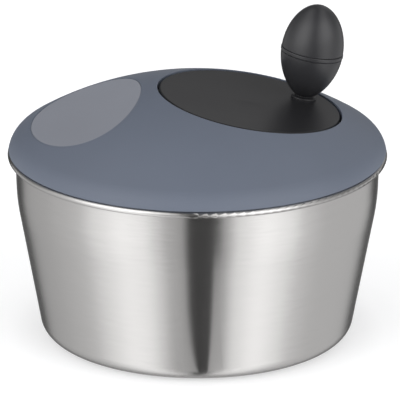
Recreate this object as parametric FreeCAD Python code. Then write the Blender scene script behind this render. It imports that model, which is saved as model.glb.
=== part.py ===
"""Crank-driven salad spinner, in millimetres.

A tapered steel bowl holds a slotted basket that turns on a pivot.  The domed lid carries an eccentric crank
disc.  Its internal ring gear turns a pinion on the centre line, and the pinion's shaft turns a driver plate
whose lugs sit in the basket's rim.  The crank axis is a radius of the dome's sphere, so it leans out from
the centre line, and both gears are straight bevels whose common apex is the dome's centre.

Frame: origin at the centre of the base on the table, +Z up, the palm scoop on -X and the crank disc on +X,
turned a little towards +Y.
"""

import FreeCAD
import Part
import math
import os

V = FreeCAD.Vector
UP = V(0, 0, 1)
ORIGIN = V(0, 0, 0)

# ---- bowl
RIM_Z = 129.5             # top of the rolled rim
RIM_R = 129.8             # outside of the rolled rim
ROLL_R = 2.1              # the roll's outer radius
ROLL_END_R = 126.7        # where the rolled sheet stops, clear of the wall
NECK_FILLET = 1.8
SHEET = 0.9
NECK_R = 124.8            # outside of the wall just below the rim
BAND_Z = 95.5             # bottom of the nearly upright band
BAND_R = 123.5
HEEL_R = 105.9            # where the tapered wall would meet the table
HEEL_FILLET = 12.0
BASE_RECESS = 1.2
PIP_R = 9.0
PIP_Z = 7.0

# ---- lid dome
DOME_R = 229.4
DOME_CENTRE = V(0, 0, -52.8)
LID_R = 129.5             # the shoulder arc's widest reach, just below the lid's edge
SHOULDER_R = 17.0
LID_SKIN = 2.2
LID_GAP = 0.3             # lid edge above the rim
LID_BOTTOM_Z = RIM_Z + LID_GAP
EDGE_STEP_R = 128.2       # outside this radius the lid's edge is stepped up
EDGE_STEP_Z = RIM_Z + 1.1

# ---- palm scoop, a trough across the dome's low side
SCOOP_ANGLE = 19.75       # its middle, from the centre line
SCOOP_DEPTH = 8.3
SCOOP_R = 186.0
SCOOP_FILLET = 3.5
PAD_THICK = 1.2
PAD_HALF_U = 40.1
PAD_HALF_V = 60.2
PAD_GAP = 0.15

# ---- crank disc; "w" is the height along the crank axis above the opening's plane
CRANK_TILT = 9.34
CRANK_TURN = 3.5          # the crank axis leans this far round from +X towards +Y
OPENING_R = 64.1
DISC_R = 62.6
DISC_TOP = -0.35
DISC_PLATE = 2.6
DISC_DISH = 0.7
SKIRT_WALL = 2.5
SKIRT_LOW = -6.4
GLIDE_TOP = -6.6
LEDGE_TOP = -7.6
LEDGE_LOW = -9.6
LEDGE_R = 59.4
COLLAR_R = 66.3
HUB_R = 9.0
HUB_LOW = -19.0
AXLE_R = 4.0
RUNNING = 0.1             # radial clearance of a turning fit
FIXED = 0.03              # radial clearance of a fit that does not turn

# ---- gears
PINION_TEETH = 16
RING_TEETH = 56
PRESSURE_ANGLE = 20.0
TOOTH_SLACK = 0.12        # taken off each tooth's thickness
RING_TOP = -14.0
RING_LOW = -21.0
RING_FLANGE_TOP = -10.0
RING_FLANGE_R = 62.4
RING_WALL_R = 52.6
GEAR_SCREW_R = 56.1
GEAR_SCREW_COUNT = 6
GEAR_BOSS_R = 2.8

# ---- knob; "t" is the height above the disc's collar plane, along the crank axis
KNOB_ORBIT = 46.9
KNOB_AZIMUTH = 32.9
COLLAR_BOSS_R = 8.7
COLLAR_BOSS_TOP = 1.1
KNOB_LOW = 1.4
KNOB_NECK_R = 6.5
BAND_LOW_T = 32.0
BAND_TOP_T = 34.7
BAND_R_OUT = 21.6
LOWER_R = 21.25
LOWER_FOOT_T = -0.5       # where the lower half would come to its point
LOWER_ROUNDNESS = 1.75    # 2 is an ellipse, less is slimmer
UPPER_R = 21.3
SEAM_CHAMFER = 0.5        # off each half's edge, on both sides of the band
UPPER_TOP_T = 66.7
UPPER_ROUNDNESS = 1.93
KNOB_WALL = 2.4
SPINDLE_R = 3.5
SLEEVE_R = 5.0
SLEEVE_FLANGE_R = 17.2
SLEEVE_TOP = 44.0
SPINDLE_TOP = 47.0

# ---- lid base, seal and driver
BASE_PLATE_LOW = 131.0
BASE_PLATE_TOP = 133.2
BASE_R = 124.4
SKIRT_R = 120.4
SKIRT_IN_R = 118.2
SKIRT_Z = 117.0
SEAL_R = 123.0
SHAFT_R = 4.0
BUSH_R = 6.0
TOWER_R = 9.0
TOWER_TOP = 147.5
PINION_LOW = 149.6
PINION_TOP = 159.6
LID_SCREW_R = 112.0
LID_SCREW_ANGLES = (45, 135, 225, 315)
LID_BOSS_R = 4.2
DRIVER_LOW = 112.4
DRIVER_THICK = 2.0
DRIVER_R = 117.2
DRIVER_HUB_R = 11.0
DRIVER_HUB_TOP = 129.4
LUG_COUNT = 12
LUG_WIDTH = 8.0
LUG_R = 113.9
LUG_LOW = 108.6
DRIVER_RIBS = 12

# ---- basket and pivot
BASKET_LOW = 9.0
BASKET_WALL = 2.0
BASKET_HEEL_R = 97.0
BASKET_HEEL_FILLET = 9.0
BASKET_NECK_R = 113.6
BASKET_RIM_Z = 110.4
BASKET_RIM_R = 119.2
BASKET_RIM_THICK = 2.2
BASKET_LIP_Z = 104.0
TOWER_IN_R = 16.0
BASKET_TOWER_TOP = 21.0
SLOT_WIDTH = 3.2
WALL_SLOTS = 40
WALL_SLOT_ROWS = ((22.0, 56.0), (64.0, 98.0))
FLOOR_SLOT_RINGS = ((24, 26.0, 52.0), (36, 60.0, 86.0))
PIN_R = 3.0
PIVOT_BUSH_R = 5.0
CAP_R = 14.0
CAP_LOW = 2.6
CAP_TOP = 11.0

# ---- places worked out from the sizes above
TILT = math.radians(CRANK_TILT)
TURN = math.radians(CRANK_TURN)
CRANK_DIR = V(math.sin(TILT) * math.cos(TURN), math.sin(TILT) * math.sin(TURN), math.cos(TILT))
OPENING_REACH = math.sqrt(DOME_R ** 2 - OPENING_R ** 2)
CRANK_CENTRE = DOME_CENTRE + CRANK_DIR * OPENING_REACH
RATIO = RING_TEETH / PINION_TEETH
PINION_CONE = math.atan2(math.sin(TILT), RATIO - math.cos(TILT))
RING_CONE = PINION_CONE + TILT


# ---- general helpers

def arc(start, end, centre, radius):
    """The short circular arc from start to end about centre."""
    middle = (start + end) * 0.5 - centre
    middle.normalize()
    return Part.Arc(start, centre + middle * radius, end).toShape()


def section_point(corner):
    """A point (radius, height) in the XZ plane."""
    return V(corner[0], 0, corner[1])


def rounded_path(corners, radii):
    """Edges of an open path in the XZ plane through the corners, each rounded by its radius."""
    points = [section_point(c) for c in corners]
    edges = []
    last = points[0]
    for before, here, after, radius in zip(points, points[1:], points[2:], radii[1:]):
        inward = (before - here).normalize()
        onward = (after - here).normalize()
        if radius > 0:
            half = 0.5 * inward.getAngle(onward)
            reach = radius / math.tan(half)
            bisector = (inward + onward).normalize()
            centre = here + bisector * (radius / math.sin(half))
            start = here + inward * reach
            end = here + onward * reach
            edges.append(Part.makeLine(last, start))
            edges.append(arc(start, end, centre, radius))
            last = end
        else:
            edges.append(Part.makeLine(last, here))
            last = here
    edges.append(Part.makeLine(last, points[-1]))
    return edges


def turn_side(before, here, after):
    """Positive where the path turns left at here."""
    first = (here[0] - before[0], here[1] - before[1])
    second = (after[0] - here[0], after[1] - here[1])
    return first[0] * second[1] - first[1] * second[0]


def left_offset(corners, radii, distance):
    """The corners and radii of the same path moved to its left by distance."""
    normals = []
    for a, b in zip(corners, corners[1:]):
        length = math.hypot(b[0] - a[0], b[1] - a[1])
        normals.append((-(b[1] - a[1]) / length, (b[0] - a[0]) / length))
    moved = []
    new_radii = []
    for i, corner in enumerate(corners):
        first = normals[max(i - 1, 0)]
        second = normals[min(i, len(normals) - 1)]
        share = distance / (1 + first[0] * second[0] + first[1] * second[1])
        moved.append((corner[0] + share * (first[0] + second[0]),
                      corner[1] + share * (first[1] + second[1])))
        radius = radii[i]
        if radius > 0:
            left_turn = turn_side(corners[i - 1], corner, corners[i + 1]) > 0
            radius = radius - distance if left_turn else radius + distance
        new_radii.append(radius)
    return moved, new_radii


def turned(edges):
    """The solid of revolution about Z of a closed profile in the XZ plane."""
    face = Part.Face(Part.Wire(Part.__sortEdges__(edges)))
    solid = face.revolve(ORIGIN, UP, 360)
    return Part.Solid(solid) if solid.ShapeType != "Solid" else solid


def turned_polygon(corners, radii=None):
    """The solid of revolution of a closed polygon of (radius, height) corners, some of them rounded."""
    radii = radii or [0] * len(corners)
    start = section_point(((corners[0][0] + corners[-1][0]) / 2, (corners[0][1] + corners[-1][1]) / 2))
    middle = (start.x, start.z)
    path = [middle] + list(corners) + [middle]
    return turned(rounded_path(path, [0] + list(radii) + [0]))


def turned_sheet(corners, radii, thickness, round_end):
    """A sheet of even thickness on the left of a path, turned about Z.  round_end rounds its outer edge."""
    inner_corners, inner_radii = left_offset(corners, radii, thickness)
    outer = rounded_path(corners, radii)
    inner = rounded_path(inner_corners, inner_radii)
    first_cap = Part.makeLine(section_point(corners[0]), section_point(inner_corners[0]))
    a = section_point(corners[-1])
    b = section_point(inner_corners[-1])
    if round_end:
        ahead = section_point(corners[-1]) - section_point(corners[-2])
        tip = (a + b) * 0.5 + ahead.normalize() * (thickness / 2)
        last_cap = Part.Arc(a, tip, b).toShape()
    else:
        last_cap = Part.makeLine(a, b)
    return turned(outer + [last_cap] + inner + [first_cap])


def rod(radius, low, high, x=0.0, y=0.0):
    """An upright cylinder."""
    return Part.makeCylinder(radius, high - low, V(x, y, low))


def tube(inner, outer, low, high, x=0.0, y=0.0):
    """An upright hollow cylinder."""
    return rod(outer, low, high, x, y).cut(rod(inner, low - 1, high + 1, x, y))


def block(size_x, size_y, low, high, x, y=0.0):
    """An upright block centred at x, y."""
    return Part.makeBox(size_x, size_y, high - low, V(x - size_x / 2, y - size_y / 2, low))


def spun(shape, degrees):
    """A copy of the shape turned about Z."""
    copy = shape.copy()
    copy.rotate(ORIGIN, UP, degrees)
    return copy


def around(shape, count, first=0.0):
    """Copies of a shape, evenly spaced about Z."""
    return [spun(shape, first + 360.0 * i / count) for i in range(count)]


def fused(shapes):
    """One solid made of all the shapes."""
    whole = shapes[0]
    if len(shapes) > 1:
        whole = whole.fuse(shapes[1:])
    return whole.removeSplitter()


def on_crank(shape):
    """Moves a shape made about Z at height w to the crank axis."""
    placed = shape.copy()
    placed.rotate(ORIGIN, V(0, 1, 0), CRANK_TILT)
    placed.rotate(ORIGIN, UP, CRANK_TURN)
    placed.translate(CRANK_CENTRE)
    return placed


def knob_place():
    """The knob's place in the crank's own plane."""
    angle = math.radians(KNOB_AZIMUTH)
    return KNOB_ORBIT * math.cos(angle), KNOB_ORBIT * math.sin(angle)


def on_knob(shape):
    """Moves a shape made about Z at height t to the knob's axis."""
    x, y = knob_place()
    placed = shape.copy()
    placed.translate(V(x, y, 0))
    return on_crank(placed)


# ---- gear teeth

def involute(angle):
    return math.tan(angle) - angle


def gear_wire(teeth, pitch_r, tip_r, root_r, tooth_thickness, height):
    """A closed involute gear outline about Z, with a tooth centred on the -X side."""
    pressure = math.radians(PRESSURE_ANGLE)
    base_r = pitch_r * math.cos(pressure)
    half_at_pitch = tooth_thickness / (2 * pitch_r)
    flank_low = max(base_r, root_r)
    flank_steps = 4

    def half_angle(radius):
        local = math.acos(min(1.0, base_r / radius))
        return half_at_pitch + involute(pressure) - involute(local)

    def at(radius, angle):
        return V(radius * math.cos(angle), radius * math.sin(angle), height)

    edges = []
    pitch_angle = 2 * math.pi / teeth
    for tooth in range(teeth):
        middle = math.pi + tooth * pitch_angle
        radii = [flank_low + (tip_r - flank_low) * k / flank_steps for k in range(flank_steps + 1)]
        rising = [at(r, middle - half_angle(r)) for r in radii]
        falling = [at(r, middle + half_angle(r)) for r in reversed(radii)]
        if root_r < flank_low:
            edges.append(Part.makeLine(at(root_r, middle - half_angle(flank_low)), rising[0]))
        for flank in (rising, falling):
            curve = Part.BSplineCurve()
            curve.interpolate(flank)
            if flank is falling:
                edges.append(Part.Arc(rising[-1], at(tip_r, middle), falling[0]).toShape())
            edges.append(curve.toShape())
        if root_r < flank_low:
            edges.append(Part.makeLine(falling[-1], at(root_r, middle + half_angle(flank_low))))
        gap_start = middle + half_angle(flank_low)
        gap_end = middle + pitch_angle - half_angle(flank_low)
        gap_middle = (gap_start + gap_end) / 2
        edges.append(Part.Arc(at(root_r, gap_start), at(root_r, gap_middle), at(root_r, gap_end)).toShape())
    return Part.Wire(edges)


def bevel_teeth(teeth, cone, top_distance, low_distance, out_share, in_share, slack):
    """A toothed solid about Z with its apex at the origin, between two distances along its axis.
    out_share and in_share are the tooth's reach outside and inside the pitch circle, in modules."""
    pitch_r = top_distance * math.tan(cone)
    module = 2 * pitch_r / teeth
    thickness = math.pi * module / 2 + slack
    top = gear_wire(teeth, pitch_r, pitch_r + out_share * module, pitch_r - in_share * module,
                    thickness, top_distance)
    low = top.copy()
    low.scale(low_distance / top_distance, ORIGIN)
    return Part.makeLoft([top, low], True, True)


# ---- bowl

def make_bowl():
    """Spun steel bowl: a pip for the pivot, a standing ring, a tapered wall and a rolled rim."""
    roll = ROLL_R - SHEET
    under = RIM_Z - SHEET
    corners = [(0, PIP_Z), (4.5, PIP_Z), (PIP_R, BASE_RECESS), (58.0, BASE_RECESS), (61.0, 0), (HEEL_R, 0),
               (BAND_R, BAND_Z), (NECK_R, under), (RIM_R - SHEET, under),
               (RIM_R - SHEET, under - 2 * roll - 0.02), (ROLL_END_R, under - 2 * roll - 0.02)]
    radii = [0, 1.6, 2.2, 2.0, 2.0, HEEL_FILLET, 120.0, NECK_FILLET, roll, roll, 0]
    return turned_sheet(corners, radii, SHEET, True)


# ---- pivot and basket

def make_pivot_cap():
    """Slippery cap that drops over the bowl's pip and carries the pin."""
    body = turned_polygon([(0, CAP_LOW), (CAP_R, CAP_LOW), (CAP_R, CAP_TOP), (0, CAP_TOP)], [0, 0.8, 1.2, 0])
    gap = LID_GAP
    pocket = turned_polygon([(0, CAP_LOW - 1), (PIP_R + 3.2, CAP_LOW - 1), (6.2, PIP_Z + SHEET + gap),
                             (0, PIP_Z + SHEET + gap)])
    pin_hole = rod(PIN_R + FIXED, PIP_Z, CAP_TOP + 1)
    return body.cut(pocket).cut(pin_hole)


def make_pivot_pin():
    low = PIP_Z + SHEET + LID_GAP
    top = BASKET_TOWER_TOP + 1.0
    return turned_polygon([(0, low), (PIN_R, low), (PIN_R, top), (0, top)], [0, 0, 1.2, 0])


def make_pivot_bush():
    """Flanged bush in the roof of the basket's central turret."""
    low = CAP_TOP + 0.2
    roof_low = BASKET_TOWER_TOP - BASKET_WALL
    inner = PIN_R + RUNNING
    return turned_polygon([(inner, low), (PIVOT_BUSH_R + 2, low), (PIVOT_BUSH_R + 2, roof_low),
                           (PIVOT_BUSH_R, roof_low), (PIVOT_BUSH_R, BASKET_TOWER_TOP),
                           (inner, BASKET_TOWER_TOP)])


def basket_shell():
    """The unslotted basket: turret, floor, tapered wall and a rim with a turned-down lip."""
    corners = [(PIVOT_BUSH_R + FIXED, BASKET_TOWER_TOP - BASKET_WALL),
               (TOWER_IN_R - 1.5, BASKET_TOWER_TOP - BASKET_WALL), (TOWER_IN_R, BASKET_LOW),
               (BASKET_HEEL_R, BASKET_LOW), (BASKET_NECK_R, BASKET_RIM_Z - BASKET_RIM_THICK),
               (BASKET_RIM_R, BASKET_RIM_Z - BASKET_RIM_THICK)]
    radii = [0, 2.5, 1.0, BASKET_HEEL_FILLET, 1.0, 0]
    shell = turned_sheet(corners, radii, BASKET_WALL, False)
    lip = tube(BASKET_RIM_R - BASKET_WALL, BASKET_RIM_R, BASKET_LIP_Z, BASKET_RIM_Z - 0.2)
    return shell.fuse(lip).removeSplitter()


def make_basket():
    shell = basket_shell()
    cutters = []
    wall_x = (BASKET_HEEL_R + BASKET_NECK_R) / 2
    for low, high in WALL_SLOT_ROWS:
        slot = block(40.0, SLOT_WIDTH, low, high, wall_x)
        cutters += around(slot, WALL_SLOTS)
    for count, inner, outer in FLOOR_SLOT_RINGS:
        slot = block(outer - inner, SLOT_WIDTH, BASKET_LOW - 2, BASKET_LOW + 6, (inner + outer) / 2)
        cutters += around(slot, count)
    notch_length = BASKET_RIM_R - BASKET_WALL - LUG_R + 0.8
    notch = block(notch_length, LUG_WIDTH + 1.2, BASKET_RIM_Z - 6, BASKET_RIM_Z + 3,
                  LUG_R - 0.4 + notch_length / 2)
    cutters += around(notch, LUG_COUNT)
    return shell.cut(cutters)


# ---- lid

def dome_solid(inset):
    """The lid's outer shape, or the same shape inset all over, closed at the bottom."""
    radius = DOME_R - inset
    side = LID_R - inset
    shoulder = SHOULDER_R - inset
    cz = DOME_CENTRE.z
    corner_x = side - shoulder
    corner_z = cz + math.sqrt((radius - shoulder) ** 2 - corner_x ** 2)
    share = radius / (radius - shoulder)
    touch = V(corner_x * share, 0, cz + (corner_z - cz) * share)
    apex = V(0, 0, cz + radius)
    low = LID_BOTTOM_Z
    edge_x = corner_x + math.sqrt(shoulder ** 2 - (low - corner_z) ** 2)
    edges = [arc(apex, touch, DOME_CENTRE, radius),
             arc(touch, V(edge_x, 0, low), V(corner_x, 0, corner_z), shoulder),
             Part.makeLine(V(edge_x, 0, low), V(0, 0, low)),
             Part.makeLine(V(0, 0, low), apex)]
    return turned(edges)


def scoop_frame():
    """The scoop's outward direction and the line its cylinder is centred on."""
    angle = math.radians(SCOOP_ANGLE)
    outward = V(-math.sin(angle), 0, math.cos(angle))
    centre = DOME_CENTRE + outward * (DOME_R - SCOOP_DEPTH + SCOOP_R)
    return outward, centre


def scoop_cylinder(extra):
    """The trough's cylinder, across Y, grown by extra."""
    _, centre = scoop_frame()
    half = 90.0
    return Part.makeCylinder(SCOOP_R + extra, 2 * half, centre - V(0, half, 0), V(0, 1, 0))


def pad_prism(grow):
    """The pad's oval outline, as a prism along the scoop's outward direction."""
    outward, _ = scoop_frame()
    foot = DOME_CENTRE + outward * (DOME_R - 40.0)
    oval = Part.Ellipse(V(0, 0, 0), PAD_HALF_V + grow, PAD_HALF_U + grow).toShape()
    oval.rotate(ORIGIN, UP, 90)
    face = Part.Face(Part.Wire([oval]))
    prism = face.extrude(UP * 60.0)
    prism.rotate(ORIGIN, V(0, 1, 0), -SCOOP_ANGLE)
    prism.translate(foot)
    return prism


def make_palm_pad():
    """Soft inlay that lines the scoop."""
    layer = scoop_cylinder(PAD_THICK).cut(scoop_cylinder(0))
    pad = pad_prism(-PAD_GAP).common(layer)
    solid = max(pad.Solids, key=lambda s: s.Volume)
    rim = [e for e in solid.Edges if abs(edge_height(e) - SCOOP_R) < 0.05]
    return try_fillet(solid, 0.35, rim)


def edge_height(edge):
    """How far an edge's middle is from the scoop cylinder's axis."""
    _, centre = scoop_frame()
    middle = edge.valueAt((edge.FirstParameter + edge.LastParameter) / 2)
    return math.hypot(middle.x - centre.x, middle.z - centre.z)


def try_fillet(solid, radius, edges):
    """The solid with the edges rounded."""
    rounded = solid.makeFillet(radius, edges)
    if not rounded.isValid() or rounded.Volume > 1.05 * solid.Volume:
        raise ValueError("a fillet failed")
    return rounded.Solids[0]


def make_lid_cover():
    """Domed cover with the palm scoop, the crank's well and its screw bosses."""
    outer = dome_solid(0)
    outer = outer.cut(scoop_cylinder(0)).Solids[0]
    scoop_edges = [e for e in outer.Edges if abs(edge_height(e) - SCOOP_R) < 0.05 and e.Length > 50]
    outer = try_fillet(outer, SCOOP_FILLET, scoop_edges)
    well = on_crank(rod(OPENING_R, LEDGE_TOP, 40))
    outer = outer.cut(well)
    lip_edges = [e for e in outer.Edges if is_opening_edge(e)]
    outer = try_fillet(outer, 0.4, lip_edges)
    outer = outer.cut(on_crank(rod(LEDGE_R, LEDGE_LOW - 30, LEDGE_TOP + 5)))

    pocket = pad_prism(0).common(scoop_cylinder(PAD_THICK))
    outer = outer.cut(pocket)

    outer = outer.cut(turned_polygon([(EDGE_STEP_R, 125), (LID_R + 5, 125), (LID_R + 5, EDGE_STEP_Z),
                                      (EDGE_STEP_R, EDGE_STEP_Z)]))

    inner = dome_solid(LID_SKIN)
    inner.translate(V(0, 0, -0.001))
    inner = inner.cut(scoop_cylinder(PAD_THICK + 1.6))
    inner = inner.cut(on_crank(rod(COLLAR_R, LEDGE_LOW, 40)))
    boss = rod(LID_BOSS_R, BASE_PLATE_TOP, 150, LID_SCREW_R)
    bosses = [spun(boss, a) for a in LID_SCREW_ANGLES]
    inner = inner.cut(bosses)
    cover = outer.cut(inner)
    holes = [spun(rod(1.3, 130, 142, LID_SCREW_R), a) for a in LID_SCREW_ANGLES]
    cover = cover.cut(holes)
    return max(cover.Solids, key=lambda s: s.Volume)


def is_opening_edge(edge):
    """True for the crisp edge where the crank's well meets the dome."""
    for share in (0.1, 0.5, 0.9):
        span = edge.LastParameter - edge.FirstParameter
        point = edge.valueAt(edge.FirstParameter + share * span) - CRANK_CENTRE
        w = point.dot(CRANK_DIR)
        if abs(w) > 0.2 or abs((point - CRANK_DIR * w).Length - OPENING_R) > 0.1:
            return False
    return True


def make_lid_base():
    """Inner plate of the lid: carries both bearings and the seal's skirt."""
    toe_r = SKIRT_R + 1.2
    toe_top = SKIRT_Z + 1.5
    plate = turned_polygon([(0, BASE_PLATE_LOW), (SKIRT_IN_R, BASE_PLATE_LOW), (SKIRT_IN_R, SKIRT_Z),
                            (toe_r, SKIRT_Z), (toe_r, toe_top), (SKIRT_R, toe_top), (SKIRT_R, LID_BOTTOM_Z),
                            (BASE_R, LID_BOTTOM_Z), (BASE_R, BASE_PLATE_TOP), (0, BASE_PLATE_TOP)],
                           [0, 2.0, 0, 0.5, 0.3, 0, 0.6, 0.5, 0.5, 0])
    tower = rod(TOWER_R, BASE_PLATE_TOP - 1, TOWER_TOP)
    post = on_crank(rod(AXLE_R + 3.6, -36, -21.6)).cut(rod(80, 100, BASE_PLATE_LOW + 0.6))
    ribs = [spun(block(BASE_R - 22, 1.8, BASE_PLATE_TOP - 0.5, BASE_PLATE_TOP + 1.2, (BASE_R + 10) / 2), a)
            for a in (60, 120, 180, 240, 300)]
    base = fused([plate, tower, post] + ribs)
    base = base.cut(rod(BUSH_R + FIXED, 120, TOWER_TOP + 1))
    base = base.cut(on_crank(rod(AXLE_R + FIXED, -32, -10)))
    screw_hole = rod(1.75, 120, 140, LID_SCREW_R).fuse(rod(3.2, 120, BASE_PLATE_LOW + 1.0, LID_SCREW_R))
    return base.cut([spun(screw_hole, a) for a in LID_SCREW_ANGLES])


def make_lid_seal():
    """Silicone ring on the skirt, with two soft lips."""
    low = SKIRT_Z + 1.55
    top = LID_BOTTOM_Z - 0.6
    inner = SKIRT_R + FIXED
    lip = SEAL_R
    waist = SKIRT_R + 1.3
    third = (top - low) / 3
    upper = low + 2 * third
    return turned_polygon([(inner, low), (waist, low), (lip, low + 1.0), (lip, low + 2.0),
                           (waist, low + third), (waist, upper - 1), (lip, upper), (lip, upper + 1.0),
                           (waist, top), (inner, top)], [0, 0, 0.4, 0.4, 0, 0, 0.4, 0.4, 0, 0])


def screw(shank_r, head_r, head_height, length):
    """Self-tapping screw about Z with its head below z = 0 and its shank going up."""
    body = turned_polygon([(0, -head_height), (head_r, -head_height), (head_r, 0), (shank_r, 0),
                           (shank_r, length - 1.5), (0.4, length), (0, length)], [0, 0.6, 0, 0, 0, 0, 0])
    slot = Part.makeBox(head_r * 1.3, 0.6, 1.0, V(-head_r * 0.65, -0.3, -head_height - 0.4))
    return body.cut([slot, spun(slot, 90)])


def make_lid_screws():
    one = screw(1.25, 2.9, 1.0, 9.5)
    one.translate(V(LID_SCREW_R, 0, BASE_PLATE_LOW + 1.0))
    return Part.makeCompound([spun(one, a) for a in LID_SCREW_ANGLES])


def make_shaft_bush():
    """Flanged bearing for the drive shaft."""
    return turned_polygon([(SHAFT_R + RUNNING, BASE_PLATE_LOW - 1.2), (BUSH_R + 2, BASE_PLATE_LOW - 1.2),
                           (BUSH_R + 2, BASE_PLATE_LOW), (BUSH_R, BASE_PLATE_LOW), (BUSH_R, TOWER_TOP + 0.6),
                           (SHAFT_R + RUNNING, TOWER_TOP + 0.6)])


def make_crank_axle():
    axle = turned_polygon([(0, -31.5), (AXLE_R, -31.5), (AXLE_R, -5.0), (0, -5.0)], [0, 0.5, 0.8, 0])
    return on_crank(axle)


def make_glide_ring():
    """Low-friction ring between the crank's skirt and the ledge of its well."""
    return on_crank(tube(LEDGE_R + 0.8, OPENING_R - 0.4, LEDGE_TOP, GLIDE_TOP))


# ---- crank

def make_crank_disc():
    """Thin dished disc with a skirt, a hub, screw bosses and a low collar round the knob's spindle."""
    plate_low = DISC_TOP - DISC_PLATE - DISC_DISH
    skirt_in_r = DISC_R - SKIRT_WALL
    body = turned_polygon([(0, plate_low), (skirt_in_r, plate_low), (skirt_in_r, SKIRT_LOW),
                           (DISC_R, SKIRT_LOW), (DISC_R, DISC_TOP), (0, DISC_TOP)], [0, 0.8, 0.4, 0.4, 1.2, 0])
    dish_r = (DISC_R ** 2) / (2 * DISC_DISH)
    bowl_tool = Part.makeSphere(dish_r, V(0, 0, DISC_TOP - DISC_DISH + dish_r), UP, -90, -60, 360)
    body = body.cut(bowl_tool)
    hub = rod(HUB_R, HUB_LOW, plate_low + 0.5)
    boss = rod(GEAR_BOSS_R, RING_FLANGE_TOP, plate_low + 0.5, GEAR_SCREW_R)
    kx, ky = knob_place()
    collar = turned_polygon([(0, -2), (COLLAR_BOSS_R, -2), (COLLAR_BOSS_R, COLLAR_BOSS_TOP),
                             (0, COLLAR_BOSS_TOP)], [0, 0, 1.0, 0])
    collar.translate(V(kx, ky, 0))
    under_boss = rod(SPINDLE_R + 3, plate_low - 1.0, plate_low + 0.5, kx, ky)
    disc = fused([body, hub, collar, under_boss] + around(boss, GEAR_SCREW_COUNT))
    disc = disc.cut(rod(BUSH_R + FIXED, HUB_LOW - 1, -4.6))
    disc = disc.cut(rod(SPINDLE_R + FIXED, -20, 20, kx, ky))
    disc = disc.cut(around(rod(1.2, RING_FLANGE_TOP - 1, -4.5, GEAR_SCREW_R), GEAR_SCREW_COUNT))
    return on_crank(disc)


def make_crank_bush():
    """Bearing sleeve pressed into the crank's hub."""
    return on_crank(tube(AXLE_R + RUNNING, BUSH_R, HUB_LOW, -4.7))


def make_ring_gear():
    """Internal bevel ring gear; its flange passes under the ledge and keeps the crank in the lid."""
    flange_low = RING_FLANGE_TOP - 2.0
    body = turned_polygon([(30, RING_FLANGE_TOP), (RING_FLANGE_R, RING_FLANGE_TOP),
                           (RING_FLANGE_R, flange_low), (RING_WALL_R, flange_low),
                           (RING_WALL_R, RING_LOW), (30, RING_LOW)], [0, 0.5, 0.5, 1.0, 0.5, 0])
    cavity = bevel_teeth(RING_TEETH, RING_CONE, OPENING_REACH + RING_TOP + 0.5, OPENING_REACH + RING_LOW - 3,
                         1.25, 0.95, TOOTH_SLACK)
    cavity.translate(V(0, 0, -OPENING_REACH))
    clear_r = (OPENING_REACH + RING_TOP) * math.tan(RING_CONE) + 2.6
    body = body.cut(rod(clear_r, RING_TOP, 0)).cut(cavity)
    body = body.cut(around(rod(1.6, -30, 0, GEAR_SCREW_R), GEAR_SCREW_COUNT))
    return on_crank(max(body.Solids, key=lambda s: s.Volume))


def make_gear_screws():
    one = screw(1.15, 2.4, 1.4, 7.0)
    one.translate(V(GEAR_SCREW_R, 0, RING_FLANGE_TOP - 2.0))
    return on_crank(Part.makeCompound(around(one, GEAR_SCREW_COUNT)))


def make_knob_spindle():
    """Steel spindle through the disc; a shoulder under the disc takes the pull."""
    low = DISC_TOP - DISC_PLATE - DISC_DISH - 1.0
    groove = SLEEVE_TOP + 0.4
    spindle = turned_polygon([(0, low - 4.2), (SPINDLE_R - 1, low - 4.2), (SPINDLE_R - 1, low),
                              (SPINDLE_R, low), (SPINDLE_R, groove), (SPINDLE_R - 0.8, groove),
                              (SPINDLE_R - 0.8, groove + 1.0), (SPINDLE_R, groove + 1.0),
                              (SPINDLE_R, SPINDLE_TOP), (0, SPINDLE_TOP)],
                             [0, 0.4, 0, 0, 0, 0, 0, 0, 0.8, 0])
    return on_knob(spindle)


def make_spindle_nut():
    """Hexagon nut and washer face that clamp the spindle to the disc."""
    low = DISC_TOP - DISC_PLATE - DISC_DISH - 1.0
    hexagon = Part.makePolygon([V(5.2 * math.cos(math.radians(a)), 5.2 * math.sin(math.radians(a)), low - 3.4)
                                for a in range(0, 361, 60)])
    nut = Part.Face(hexagon).extrude(V(0, 0, 2.6))
    washer = rod(5.8, low - 0.8, low)
    nut = nut.fuse(washer).removeSplitter().cut(rod(SPINDLE_R - 1 + FIXED, low - 5, low + 1))
    return on_knob(nut)


def make_spindle_clip():
    """Push-on clip that keeps the knob on its spindle."""
    low = SLEEVE_TOP + 0.45
    clip = tube(SPINDLE_R - 0.77, 6.4, low, low + 0.9)
    mouth = block(8.0, 3.0, low - 1, low + 2, 5.0)
    return on_knob(clip.cut(mouth))


# ---- knob

def half_egg(centre_t, radius, height, roundness, upwards):
    """A solid half egg about Z on the plane t = centre_t, from a superellipse's quarter."""
    sign = 1 if upwards else -1
    steps = 24
    points = []
    for i in range(steps + 1):
        angle = math.pi / 2 * i / steps
        across = math.cos(angle) ** (2 / roundness) if i < steps else 0
        along = math.sin(angle) ** (2 / roundness)
        points.append(V(radius * across, 0, centre_t + sign * height * along))
    curve = Part.BSplineCurve()
    curve.interpolate(points)
    middle = V(0, 0, centre_t)
    return turned([curve.toShape(), Part.makeLine(points[-1], middle), Part.makeLine(middle, points[0])])


def egg_shell(centre_t, radius, height, roundness, upwards):
    """Half an egg hollowed out to an even wall."""
    outer = half_egg(centre_t, radius, height, roundness, upwards)
    return outer.cut(half_egg(centre_t, radius - KNOB_WALL, height - KNOB_WALL, roundness, upwards))


def seam_chamfer(seam_t, radius, upwards):
    """Ring that takes the outer corner off a half egg where it meets the band."""
    away = seam_t + SEAM_CHAMFER if upwards else seam_t - SEAM_CHAMFER
    outside = radius + 1
    return turned_polygon([(radius - SEAM_CHAMFER, seam_t), (outside, seam_t), (outside, away), (radius, away)])


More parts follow.
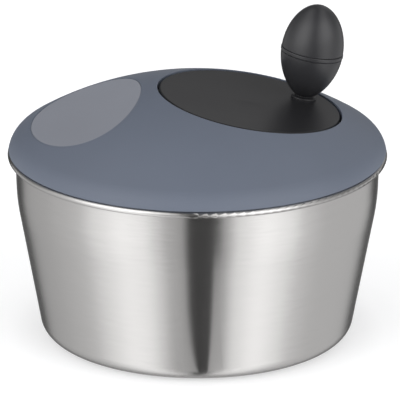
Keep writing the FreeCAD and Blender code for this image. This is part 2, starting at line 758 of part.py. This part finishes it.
def make_knob_lower():
    """Lower half of the egg grip: a cup with a central tube for the bearing sleeve."""
    cup = egg_shell(BAND_LOW_T, LOWER_R, BAND_LOW_T - LOWER_FOOT_T, LOWER_ROUNDNESS, False)
    cup = cup.cut(seam_chamfer(BAND_LOW_T, LOWER_R, False))
    core = rod(KNOB_NECK_R, KNOB_LOW, BAND_LOW_T - 1)
    cup = fused([cup, core]).cut(rod(60, KNOB_LOW - 20, KNOB_LOW))
    return on_knob(cup.cut(rod(SLEEVE_R + FIXED, -5, 60)))


def make_knob_band():
    """Raised band where the two halves of the grip meet."""
    inner = LOWER_R - KNOB_WALL - 1.5
    band = turned_polygon([(inner, BAND_LOW_T), (BAND_R_OUT, BAND_LOW_T), (BAND_R_OUT, BAND_TOP_T),
                           (inner, BAND_TOP_T)], [0, 0.6, 0.6, 0])
    return on_knob(band)


def make_knob_upper():
    """Upper half of the egg grip, closed at the top."""
    cap = egg_shell(BAND_TOP_T, UPPER_R, UPPER_TOP_T - BAND_TOP_T, UPPER_ROUNDNESS, True)
    return on_knob(cap.cut(seam_chamfer(BAND_TOP_T, UPPER_R, True)))


def make_knob_sleeve():
    """Bearing tube that turns on the spindle, with a flange under the band that the clip holds down."""
    inner = SPINDLE_R + RUNNING
    low = BAND_LOW_T - 1
    sleeve = turned_polygon([(inner, KNOB_LOW + 0.1), (SLEEVE_R, KNOB_LOW + 0.1), (SLEEVE_R, low),
                             (SLEEVE_FLANGE_R, low), (SLEEVE_FLANGE_R, low + 2), (SLEEVE_R + 2, low + 2),
                             (SLEEVE_R + 2, SLEEVE_TOP), (inner, SLEEVE_TOP)])
    return on_knob(sleeve)


# ---- driver

def make_pinion():
    """Bevel pinion on the drive shaft."""
    top = PINION_TOP - DOME_CENTRE.z
    low = PINION_LOW - DOME_CENTRE.z
    teeth = bevel_teeth(PINION_TEETH, PINION_CONE, top, low, 0.95, 1.25, -TOOTH_SLACK)
    teeth.translate(DOME_CENTRE)
    return teeth.cut(rod(SHAFT_R + FIXED, 100, 200))


def make_drive_shaft():
    top = PINION_TOP + 3.0
    return turned_polygon([(0, DRIVER_LOW + 1.0), (SHAFT_R, DRIVER_LOW + 1.0), (SHAFT_R, top), (0, top)],
                          [0, 0.4, 0.8, 0])


def make_pinion_clip():
    """Retaining ring on the shaft above the pinion."""
    ring = tube(SHAFT_R + FIXED, 7.0, PINION_TOP + 0.1, PINION_TOP + 1.1)
    return ring.cut(block(8.0, 2.6, PINION_TOP - 1, PINION_TOP + 3, 6.0))


def make_driver_plate():
    """Ribbed plate that covers the basket and drops its lugs into the basket's rim."""
    top = DRIVER_LOW + DRIVER_THICK
    plate = tube(20.0, DRIVER_R, DRIVER_LOW, top)
    hub = turned_polygon([(0, DRIVER_LOW), (21.0, DRIVER_LOW), (21.0, top), (DRIVER_HUB_R, top + 4.0),
                          (DRIVER_HUB_R, DRIVER_HUB_TOP), (0, DRIVER_HUB_TOP)], [0, 0, 0, 2.0, 0.8, 0])
    rib = block(96.0, 1.8, top - 0.5, top + 4.0, 62.0)
    hoop = tube(84.0, 86.0, top - 0.5, top + 4.0)
    edge = tube(DRIVER_R - 2.0, DRIVER_R, top - 0.5, top + 1.6)
    lug = block(DRIVER_R - LUG_R, LUG_WIDTH, LUG_LOW, DRIVER_LOW + 0.5, (DRIVER_R + LUG_R) / 2 - 0.25)
    plate = fused([plate, hub, hoop, edge] + around(rib, DRIVER_RIBS) + around(lug, LUG_COUNT))
    window = block(26.0, 4.0, DRIVER_LOW - 1, top + 1, 0)
    windows = []
    for radius in (38.0, 68.0):
        cut = window.copy()
        cut.translate(V(radius, 0, 0))
        windows += around(cut, DRIVER_RIBS, 180.0 / DRIVER_RIBS)
    plate = plate.cut(windows)
    return plate.cut(rod(SHAFT_R + FIXED, DRIVER_LOW + 1.0, 140)).cut(rod(1.8, 100, DRIVER_LOW + 2))


def make_driver_screw():
    """Screw that clamps the driver to the end of the shaft."""
    head = turned_polygon([(0, DRIVER_LOW - 1.6), (4.0, DRIVER_LOW - 1.6), (4.0, DRIVER_LOW),
                           (1.5, DRIVER_LOW), (1.5, DRIVER_LOW + 1.0), (0, DRIVER_LOW + 1.0)],
                          [0, 0.8, 0, 0, 0, 0])
    slot = Part.makeBox(5.0, 0.8, 1.2, V(-2.5, -0.4, DRIVER_LOW - 2.2))
    return head.cut([slot, spun(slot, 90)])


def make_thrust_washer():
    """Washer between the shaft's bush and the pinion."""
    return tube(SHAFT_R + RUNNING, 7.4, TOWER_TOP + 0.7, PINION_LOW - 0.1)


PARTS = {
    "bowl": make_bowl,
    "pivot_cap": make_pivot_cap,
    "pivot_pin": make_pivot_pin,
    "basket_bush": make_pivot_bush,
    "basket": make_basket,
    "lid_cover": make_lid_cover,
    "palm_pad": make_palm_pad,
    "lid_base": make_lid_base,
    "lid_seal": make_lid_seal,
    "lid_screws": make_lid_screws,
    "shaft_bush": make_shaft_bush,
    "crank_axle": make_crank_axle,
    "glide_ring": make_glide_ring,
    "crank_disc": make_crank_disc,
    "crank_bush": make_crank_bush,
    "ring_gear": make_ring_gear,
    "ring_gear_screws": make_gear_screws,
    "knob_spindle": make_knob_spindle,
    "spindle_nut": make_spindle_nut,
    "spindle_clip": make_spindle_clip,
    "knob_lower": make_knob_lower,
    "knob_band": make_knob_band,
    "knob_upper": make_knob_upper,
    "knob_sleeve": make_knob_sleeve,
    "pinion": make_pinion,
    "drive_shaft": make_drive_shaft,
    "pinion_clip": make_pinion_clip,
    "thrust_washer": make_thrust_washer,
    "driver_plate": make_driver_plate,
    "driver_screw": make_driver_screw,
}

# The gear train's own phase, so that teeth and lugs meet as they are drawn in the XZ plane.
IN_STEP_WITH_CRANK = ("basket", "pinion", "drive_shaft", "pinion_clip", "driver_plate", "driver_screw")


def main():
    os.makedirs("parts", exist_ok=True)
    for name, make in PARTS.items():
        shape = make()
        if name in IN_STEP_WITH_CRANK:
            shape = spun(shape, CRANK_TURN)
        sound = all(s.isValid() and s.Volume > 0 for s in shape.Solids)
        print(name, "solids", len(shape.Solids), "volume", round(shape.Volume), "valid", sound)
        shape.exportStep("parts/" + name + ".step")


main()
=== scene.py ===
import math

import bpy
from mathutils import Matrix, Vector

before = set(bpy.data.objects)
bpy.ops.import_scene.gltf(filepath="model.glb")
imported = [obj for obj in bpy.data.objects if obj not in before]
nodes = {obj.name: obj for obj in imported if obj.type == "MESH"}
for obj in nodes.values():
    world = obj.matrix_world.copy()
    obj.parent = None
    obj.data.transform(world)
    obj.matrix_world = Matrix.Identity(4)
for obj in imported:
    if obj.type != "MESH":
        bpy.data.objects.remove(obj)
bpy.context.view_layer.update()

# the part of the 0..1 range that most of a noise texture's values lie in
NOISE_LOW = 0.25
NOISE_HIGH = 0.75

# ---------------------------------------------------------------------------
# Small helpers for node trees
# ---------------------------------------------------------------------------


class Tree:
    """A node tree with short calls for the nodes this script needs."""

    def __init__(self, tree):
        self.tree = tree
        tree.nodes.clear()

    def node(self, kind, **settings):
        n = self.tree.nodes.new(kind)
        for key, value in settings.items():
            setattr(n, key, value)
        return n

    def link(self, out, into):
        self.tree.links.new(out, into)

    def feed(self, socket, value):
        """Links value if it is a socket, and sets it on the socket otherwise."""
        if isinstance(value, bpy.types.NodeSocket):
            self.link(value, socket)
        else:
            socket.default_value = value

    def math(self, operation, a, b=0.0, c=0.0):
        n = self.node("ShaderNodeMath", operation=operation)
        for socket, value in zip(n.inputs, (a, b, c)):
            self.feed(socket, value)
        return n.outputs[0]

    def ramp(self, factor, stops, interpolation="EASE"):
        """A ramp whose stops are (place, grey level or colour)."""
        n = self.node("ShaderNodeValToRGB")
        n.color_ramp.interpolation = interpolation
        elements = n.color_ramp.elements
        while len(elements) > 1:
            elements.remove(elements[-1])
        for i, (place, level) in enumerate(stops):
            e = elements[0] if i == 0 else elements.new(place)
            e.position = place
            rgb = level if isinstance(level, tuple) else (level,) * 3
            e.color = (*rgb, 1.0)
        self.feed(n.inputs[0], factor)
        return n.outputs[0]

    def mix(self, factor, a, b, blend="MIX"):
        n = self.node("ShaderNodeMix", data_type="RGBA", blend_type=blend)
        self.feed(n.inputs[0], factor)
        self.feed(n.inputs[6], a)
        self.feed(n.inputs[7], b)
        return n.outputs[2]

    def noise(self, vector, scale, detail=2.0, roughness=0.5):
        n = self.node("ShaderNodeTexNoise")
        self.feed(n.inputs["Vector"], vector)
        n.inputs["Scale"].default_value = scale
        n.inputs["Detail"].default_value = detail
        n.inputs["Roughness"].default_value = roughness
        return n.outputs["Fac"]

    def spread(self, value, low, high):
        """Stretches a noise's values to low..high."""
        n = self.node("ShaderNodeMapRange")
        self.feed(n.inputs["Value"], value)
        n.inputs["From Min"].default_value = NOISE_LOW
        n.inputs["From Max"].default_value = NOISE_HIGH
        n.inputs["To Min"].default_value = low
        n.inputs["To Max"].default_value = high
        return n.outputs[0]

    def bump(self, height, distance, strength):
        n = self.node("ShaderNodeBump")
        n.inputs["Strength"].default_value = strength
        n.inputs["Distance"].default_value = distance
        self.feed(n.inputs["Height"], height)
        return n.outputs[0]

    def length(self, a, b):
        """The length of the plane vector (a, b)."""
        squares = self.math("ADD", self.math("MULTIPLY", a, a), self.math("MULTIPLY", b, b))
        return self.math("SQRT", squares)

    def split(self, vector):
        """The three components of a vector."""
        n = self.node("ShaderNodeSeparateXYZ")
        self.link(vector, n.inputs[0])
        return n.outputs


def material(name):
    """A new material with its tree, its shader and its object coordinates."""
    m = bpy.data.materials.new(name)
    m.use_nodes = True
    t = Tree(m.node_tree)
    shader = t.node("ShaderNodeBsdfPrincipled")
    out = t.node("ShaderNodeOutputMaterial")
    t.link(shader.outputs[0], out.inputs[0])
    place = t.node("ShaderNodeTexCoord").outputs["Object"]
    return m, t, shader, place


def opaque(colour):
    return (*colour, 1.0)


# ---------------------------------------------------------------------------
# Materials
# ---------------------------------------------------------------------------


# the brush marks' noise is stretched this much along the lines, and pressed this much across them
MARKS_ALONG = 0.35
MARKS_ACROSS = 90.0
# a quarter turn lays the highlights' spread across the brush marks
ACROSS_THE_MARKS = 0.25


def brushed_steel(name, colour, roughness, depth):
    """Sheet steel polished on a lathe: fine lines run round the Z axis."""
    m, t, shader, place = material(name)
    x, y, z = t.split(place)
    lines = t.node("ShaderNodeCombineXYZ")
    t.link(t.math("MULTIPLY", t.math("ARCTAN2", y, x), MARKS_ALONG), lines.inputs[0])
    t.link(t.math("MULTIPLY", z, MARKS_ACROSS), lines.inputs[1])
    t.link(t.math("MULTIPLY", t.length(x, y), MARKS_ACROSS), lines.inputs[2])
    fine = t.noise(lines.outputs[0], 22.0, detail=3.0, roughness=0.6)
    coarse = t.noise(lines.outputs[0], 3.0, detail=2.0)
    tone = t.spread(t.math("MULTIPLY_ADD", coarse, 0.15, t.math("MULTIPLY", fine, 0.85)), 0.96, 1.035)
    grey = t.mix(1.0, opaque(colour), tone, "MULTIPLY")
    t.link(grey, shader.inputs["Base Color"])
    t.link(t.spread(fine, roughness - 0.03, roughness + 0.03), shader.inputs["Roughness"])
    shader.inputs["Metallic"].default_value = 1.0
    shader.inputs["Anisotropic"].default_value = 1.0
    shader.inputs["Anisotropic Rotation"].default_value = ACROSS_THE_MARKS
    tangent = t.node("ShaderNodeTangent", direction_type="RADIAL", axis="Z")
    t.link(tangent.outputs[0], shader.inputs["Tangent"])
    t.link(t.bump(fine, depth, 0.35), shader.inputs["Normal"])
    return m


GRAIN = 0.00035
GRAIN_DEPTH = 0.00002


def moulded(name, colour, roughness, specular=0.5):
    """Moulded plastic with a spark-eroded grain and a faint uneven gloss."""
    m, t, shader, place = material(name)
    cloud = t.noise(place, 14.0, detail=3.0)
    speckle = t.noise(place, 1.0 / GRAIN, detail=1.0)
    tone = t.math("MULTIPLY", t.spread(cloud, 0.97, 1.03), t.spread(speckle, 0.985, 1.015))
    t.link(t.mix(1.0, opaque(colour), tone, "MULTIPLY"), shader.inputs["Base Color"])
    t.link(t.spread(cloud, roughness - 0.02, roughness + 0.03), shader.inputs["Roughness"])
    shader.inputs["Specular IOR Level"].default_value = specular
    t.link(t.bump(speckle, GRAIN_DEPTH, 0.5), shader.inputs["Normal"])
    return m


def plain_metal(name, colour, roughness):
    """Turned or stamped small parts."""
    m, t, shader, place = material(name)
    marks = t.noise(place, 900.0, detail=3.0, roughness=0.6)
    t.link(t.mix(1.0, opaque(colour), t.spread(marks, 0.9, 1.08), "MULTIPLY"), shader.inputs["Base Color"])
    t.link(t.spread(marks, roughness - 0.05, roughness + 0.07), shader.inputs["Roughness"])
    shader.inputs["Metallic"].default_value = 1.0
    t.link(t.bump(marks, 0.00002, 0.3), shader.inputs["Normal"])
    return m


STEEL = (0.63, 0.62, 0.612)
LID_GREY = (0.137, 0.158, 0.204)
PAD_GREY = (0.270, 0.283, 0.325)
CHARCOAL = (0.019, 0.019, 0.021)
KNOB_DARK = (0.03, 0.03, 0.033)
BASKET_GREY = (0.56, 0.58, 0.61)
LID_BASE_GREY = (0.30, 0.32, 0.35)
DRIVER_GREY = (0.44, 0.46, 0.48)
NYLON_WHITE = (0.80, 0.80, 0.77)
ACETAL_WHITE = (0.76, 0.76, 0.73)
BRASS = (0.71, 0.55, 0.27)

steel_bowl = brushed_steel("bowl_steel", STEEL, 0.24, 0.00002)
lid_plastic = moulded("lid_soft_grey", LID_GREY, 0.5, specular=0.35)
pad_plastic = moulded("pad_warm_grey", PAD_GREY, 0.55, specular=0.3)
disc_plastic = moulded("disc_charcoal_grain", CHARCOAL, 0.33, specular=0.3)
knob_plastic = moulded("knob_charcoal_satin", KNOB_DARK, 0.34)
band_plastic = moulded("band_charcoal", KNOB_DARK, 0.30)
base_plastic = moulded("lid_base_grey", LID_BASE_GREY, 0.45)
basket_plastic = moulded("basket_grey", BASKET_GREY, 0.38)
driver_plastic = moulded("driver_grey", DRIVER_GREY, 0.4)
gear_acetal = moulded("gear_acetal", ACETAL_WHITE, 0.35)
white_nylon = moulded("white_nylon", NYLON_WHITE, 0.38)
seal_silicone = moulded("seal_silicone", (0.45, 0.46, 0.47), 0.6, specular=0.35)
bush_brass = plain_metal("bush_brass", BRASS, 0.3)
small_steel = plain_metal("small_steel", (0.6, 0.59, 0.57), 0.28)
ground_steel = plain_metal("ground_steel", (0.66, 0.65, 0.64), 0.16)
zinc_steel = plain_metal("zinc_steel", (0.52, 0.54, 0.57), 0.33)
spring_steel = plain_metal("spring_steel", (0.4, 0.4, 0.41), 0.35)

FINISH = {
    "bowl": steel_bowl,
    "pivot_cap": white_nylon,
    "pivot_pin": ground_steel,
    "basket_bush": white_nylon,
    "basket": basket_plastic,
    "lid_cover": lid_plastic,
    "palm_pad": pad_plastic,
    "lid_base": base_plastic,
    "lid_seal": seal_silicone,
    "lid_screws": zinc_steel,
    "shaft_bush": bush_brass,
    "crank_axle": ground_steel,
    "glide_ring": white_nylon,
    "crank_disc": disc_plastic,
    "crank_bush": bush_brass,
    "ring_gear": gear_acetal,
    "ring_gear_screws": zinc_steel,
    "knob_spindle": small_steel,
    "spindle_nut": zinc_steel,
    "spindle_clip": spring_steel,
    "knob_lower": knob_plastic,
    "knob_band": band_plastic,
    "knob_upper": knob_plastic,
    "knob_sleeve": white_nylon,
    "pinion": gear_acetal,
    "drive_shaft": ground_steel,
    "pinion_clip": spring_steel,
    "thrust_washer": ground_steel,
    "driver_plate": driver_plastic,
    "driver_screw": zinc_steel,
}
for name, finish in FINISH.items():
    for slot in nodes[name].material_slots:
        slot.material = finish

# ---------------------------------------------------------------------------
# Floor, and two bright cards lying on it
# ---------------------------------------------------------------------------

FLOOR_RADIUS = 30.0
FLOOR_SIDES = 96
FLOOR_Z = -0.0002
# the floor's own light by distance from the object's axis, dimmer close to the bowl: a painted soft shadow
FLOOR_GLOW_AND_PAINTED_SHADOW = [(0.100, 0.42), (0.115, 0.52), (0.130, 0.61), (0.155, 0.66)]

CARD_CENTRE_X = 0.005
CARD_LEVEL = 0.5
# each card's end near the bowl and its end far from it: y, and the inner and outer edge's reach to the side
CARD_NEAR = (-0.112, 0.003, 0.016)
CARD_FAR = (-0.250, 0.035, 0.052)


def flat_piece(name, corners, z):
    """A level polygon with the given (x, y) corners."""
    mesh = bpy.data.meshes.new(name)
    mesh.from_pydata([(x, y, z) for x, y in corners], [], [list(range(len(corners)))])
    piece = bpy.data.objects.new(name, mesh)
    bpy.context.scene.collection.objects.link(piece)
    return piece


def floor_white():
    """Pale matt floor that glows, so that it stays white all round, with a painted soft shadow where it
    glows less close to the bowl.
    """
    m, t, shader, place = material("floor_white")
    cloud = t.noise(place, 3.0)
    t.link(t.ramp(cloud, [(0.0, 0.58), (1.0, 0.62)]), shader.inputs["Base Color"])
    shader.inputs["Roughness"].default_value = 0.3
    shader.inputs["Specular IOR Level"].default_value = 0.1
    shader.inputs["Emission Color"].default_value = (0.985, 0.99, 1.0, 1.0)
    x, y, _ = t.split(place)
    # the glow is weaker close to the bowl: painted shadow
    t.link(t.ramp(t.length(x, y), FLOOR_GLOW_AND_PAINTED_SHADOW, "LINEAR"), shader.inputs["Emission Strength"])
    return m


def card_white(name):
    """White light of an even strength, with a faint cloud in it."""
    m, t, shader, place = material(name)
    shader.inputs["Base Color"].default_value = opaque((0.0, 0.0, 0.0))
    shader.inputs["Emission Color"].default_value = opaque((1.0, 1.0, 1.0))
    glow = t.spread(t.noise(place, 20.0), 0.97 * CARD_LEVEL, 1.03 * CARD_LEVEL)
    t.link(glow, shader.inputs["Emission Strength"])
    return m


def bounce_card(name, side):
    """A bright strip on the floor in front that only reflections see; side is -1 left, 1 right."""
    near_y, near_inner, near_outer = CARD_NEAR
    far_y, far_inner, far_outer = CARD_FAR
    corners = [(near_inner, near_y), (near_outer, near_y), (far_outer, far_y), (far_inner, far_y)]
    card = flat_piece(name, [(CARD_CENTRE_X + side * reach, y) for reach, y in corners], 0.0)
    card.data.materials.append(card_white(name + "_white"))
    card.visible_camera = False
    card.visible_diffuse = False
    card.visible_shadow = False


rim = [2 * math.pi * i / FLOOR_SIDES for i in range(FLOOR_SIDES)]
floor = flat_piece("floor", [(FLOOR_RADIUS * math.cos(a), FLOOR_RADIUS * math.sin(a)) for a in rim], FLOOR_Z)
floor.data.materials.append(floor_white())
floor.visible_glossy = False

bounce_card("card_left", -1)
bounce_card("card_right", 1)

# ---------------------------------------------------------------------------
# Studio: the light's brightness round the object, by bearing in degrees (0 is the front, + is the right)
# ---------------------------------------------------------------------------

# cards and flags level with the object and below it
LOW_CARDS = [
    (-180, 0.60), (-172, 0.50), (-163, 0.08), (-150, 0.08), (-140, 0.50), (-118, 0.56), (-96, 0.66),
    (-82, 0.74), (-68, 1.10), (-50, 1.36), (-36, 1.22), (-26, 0.86), (-19, 0.56), (-10, 0.50), (-5, 0.06),
    (13, 0.06), (19, 0.50), (28, 1.05), (46, 1.40), (62, 1.22), (74, 0.80), (92, 0.66), (139, 0.64),
    (149, 0.08), (163, 0.08), (172, 0.50), (180, 0.60),
]
# soft boxes above the object
HIGH_BOXES = [
    (-180, 0.12), (-165, 0.08), (-150, 0.10), (-120, 0.25), (-90, 0.85), (-65, 2.20), (-40, 2.40),
    (-18, 1.20), (-7, 0.20), (7, 0.20), (18, 1.20), (40, 2.40), (65, 2.20), (90, 0.55), (120, 0.20),
    (145, 0.30), (160, 0.55), (170, 0.35), (180, 0.12),
]
# ceiling, by how far to the side (-1 left, 1 right), with a dark stripe from the front to the back
CEILING = [(-1, 1.10), (-0.34, 1.10), (-0.10, 0.06), (0.14, 0.06), (0.38, 1.10), (1, 1.10)]
STRONGEST = 2.4
# heights, as shares of the way from the horizon to straight up, between which one layer turns into the next
CARDS_TO_BOXES = (0.02, 0.14)
BOXES_TO_CEILING = (0.45, 0.70)


def brightness(tree, share, stops, first, span):
    """A ramp over stops of (bearing or side, level); share runs over the span from its first value."""
    places = [((place - first) / span, level / STRONGEST) for place, level in stops]
    return tree.ramp(share, places)


def change_over(tree, height, heights):
    """0 below the two heights and 1 above them."""
    return tree.ramp(height, [(heights[0], 0.0), (heights[1], 1.0)])


def build_studio():
    """The world: low cards, soft boxes above them, and a ceiling."""
    world = bpy.data.worlds.new("studio")
    bpy.context.scene.world = world
    world.use_nodes = True
    t = Tree(world.node_tree)
    x, y, z = t.split(t.node("ShaderNodeTexCoord").outputs["Generated"])
    bearing = t.math("ARCTAN2", x, t.math("MULTIPLY", y, -1.0))
    turn = t.math("MULTIPLY_ADD", bearing, 0.5 / math.pi, 0.5)
    low_cards = brightness(t, turn, LOW_CARDS, -180, 360)
    high_boxes = brightness(t, turn, HIGH_BOXES, -180, 360)
    aside = t.math("MULTIPLY_ADD", x, 0.5, 0.5)
    ceiling = brightness(t, aside, CEILING, -1, 2)
    height = t.math("DIVIDE", t.math("ARCSINE", z), math.pi / 2)
    above = change_over(t, height, CARDS_TO_BOXES)
    overhead = change_over(t, height, BOXES_TO_CEILING)
    light = t.node("ShaderNodeBackground")
    t.link(t.mix(overhead, t.mix(above, low_cards, high_boxes), ceiling), light.inputs[0])
    light.inputs[1].default_value = STRONGEST
    out = t.node("ShaderNodeOutputWorld")
    t.link(light.outputs[0], out.inputs[0])


build_studio()

# ---------------------------------------------------------------------------
# Camera
# ---------------------------------------------------------------------------

ELEVATION = math.radians(19.41)
ROLL = 0.0040
DISTANCE = 4.0
LENS = 523.4
SENSOR = 36.0
# the camera looks past this point, moved to the right and up by the two offsets
AIM = Vector((0.0, 0.0, 0.065))
ASIDE = 0.0020
ABOVE = 0.02659


def build_camera():
    """A long lens in front of the object, looking down on it."""
    forward = Vector((0.0, math.cos(ELEVATION), -math.sin(ELEVATION)))
    level_right = Vector((1.0, 0.0, 0.0))
    level_up = Vector((0.0, math.sin(ELEVATION), math.cos(ELEVATION)))
    right = level_right * math.cos(ROLL) + level_up * math.sin(ROLL)
    up = level_up * math.cos(ROLL) - level_right * math.sin(ROLL)
    camera_data = bpy.data.cameras.new("camera")
    camera_data.lens = LENS
    camera_data.sensor_width = SENSOR
    camera_data.clip_start = 0.1
    camera_data.clip_end = 100.0
    camera = bpy.data.objects.new("camera", camera_data)
    bpy.context.scene.collection.objects.link(camera)
    turn = Matrix((right, up, -forward)).transposed()
    place = AIM - forward * DISTANCE + right * ASIDE + up * ABOVE
    camera.matrix_world = Matrix.Translation(place) @ turn.to_4x4()
    bpy.context.scene.camera = camera


build_camera()
bpy.context.scene.view_settings.view_transform = "Standard"
bpy.context.scene.view_settings.look = "None"
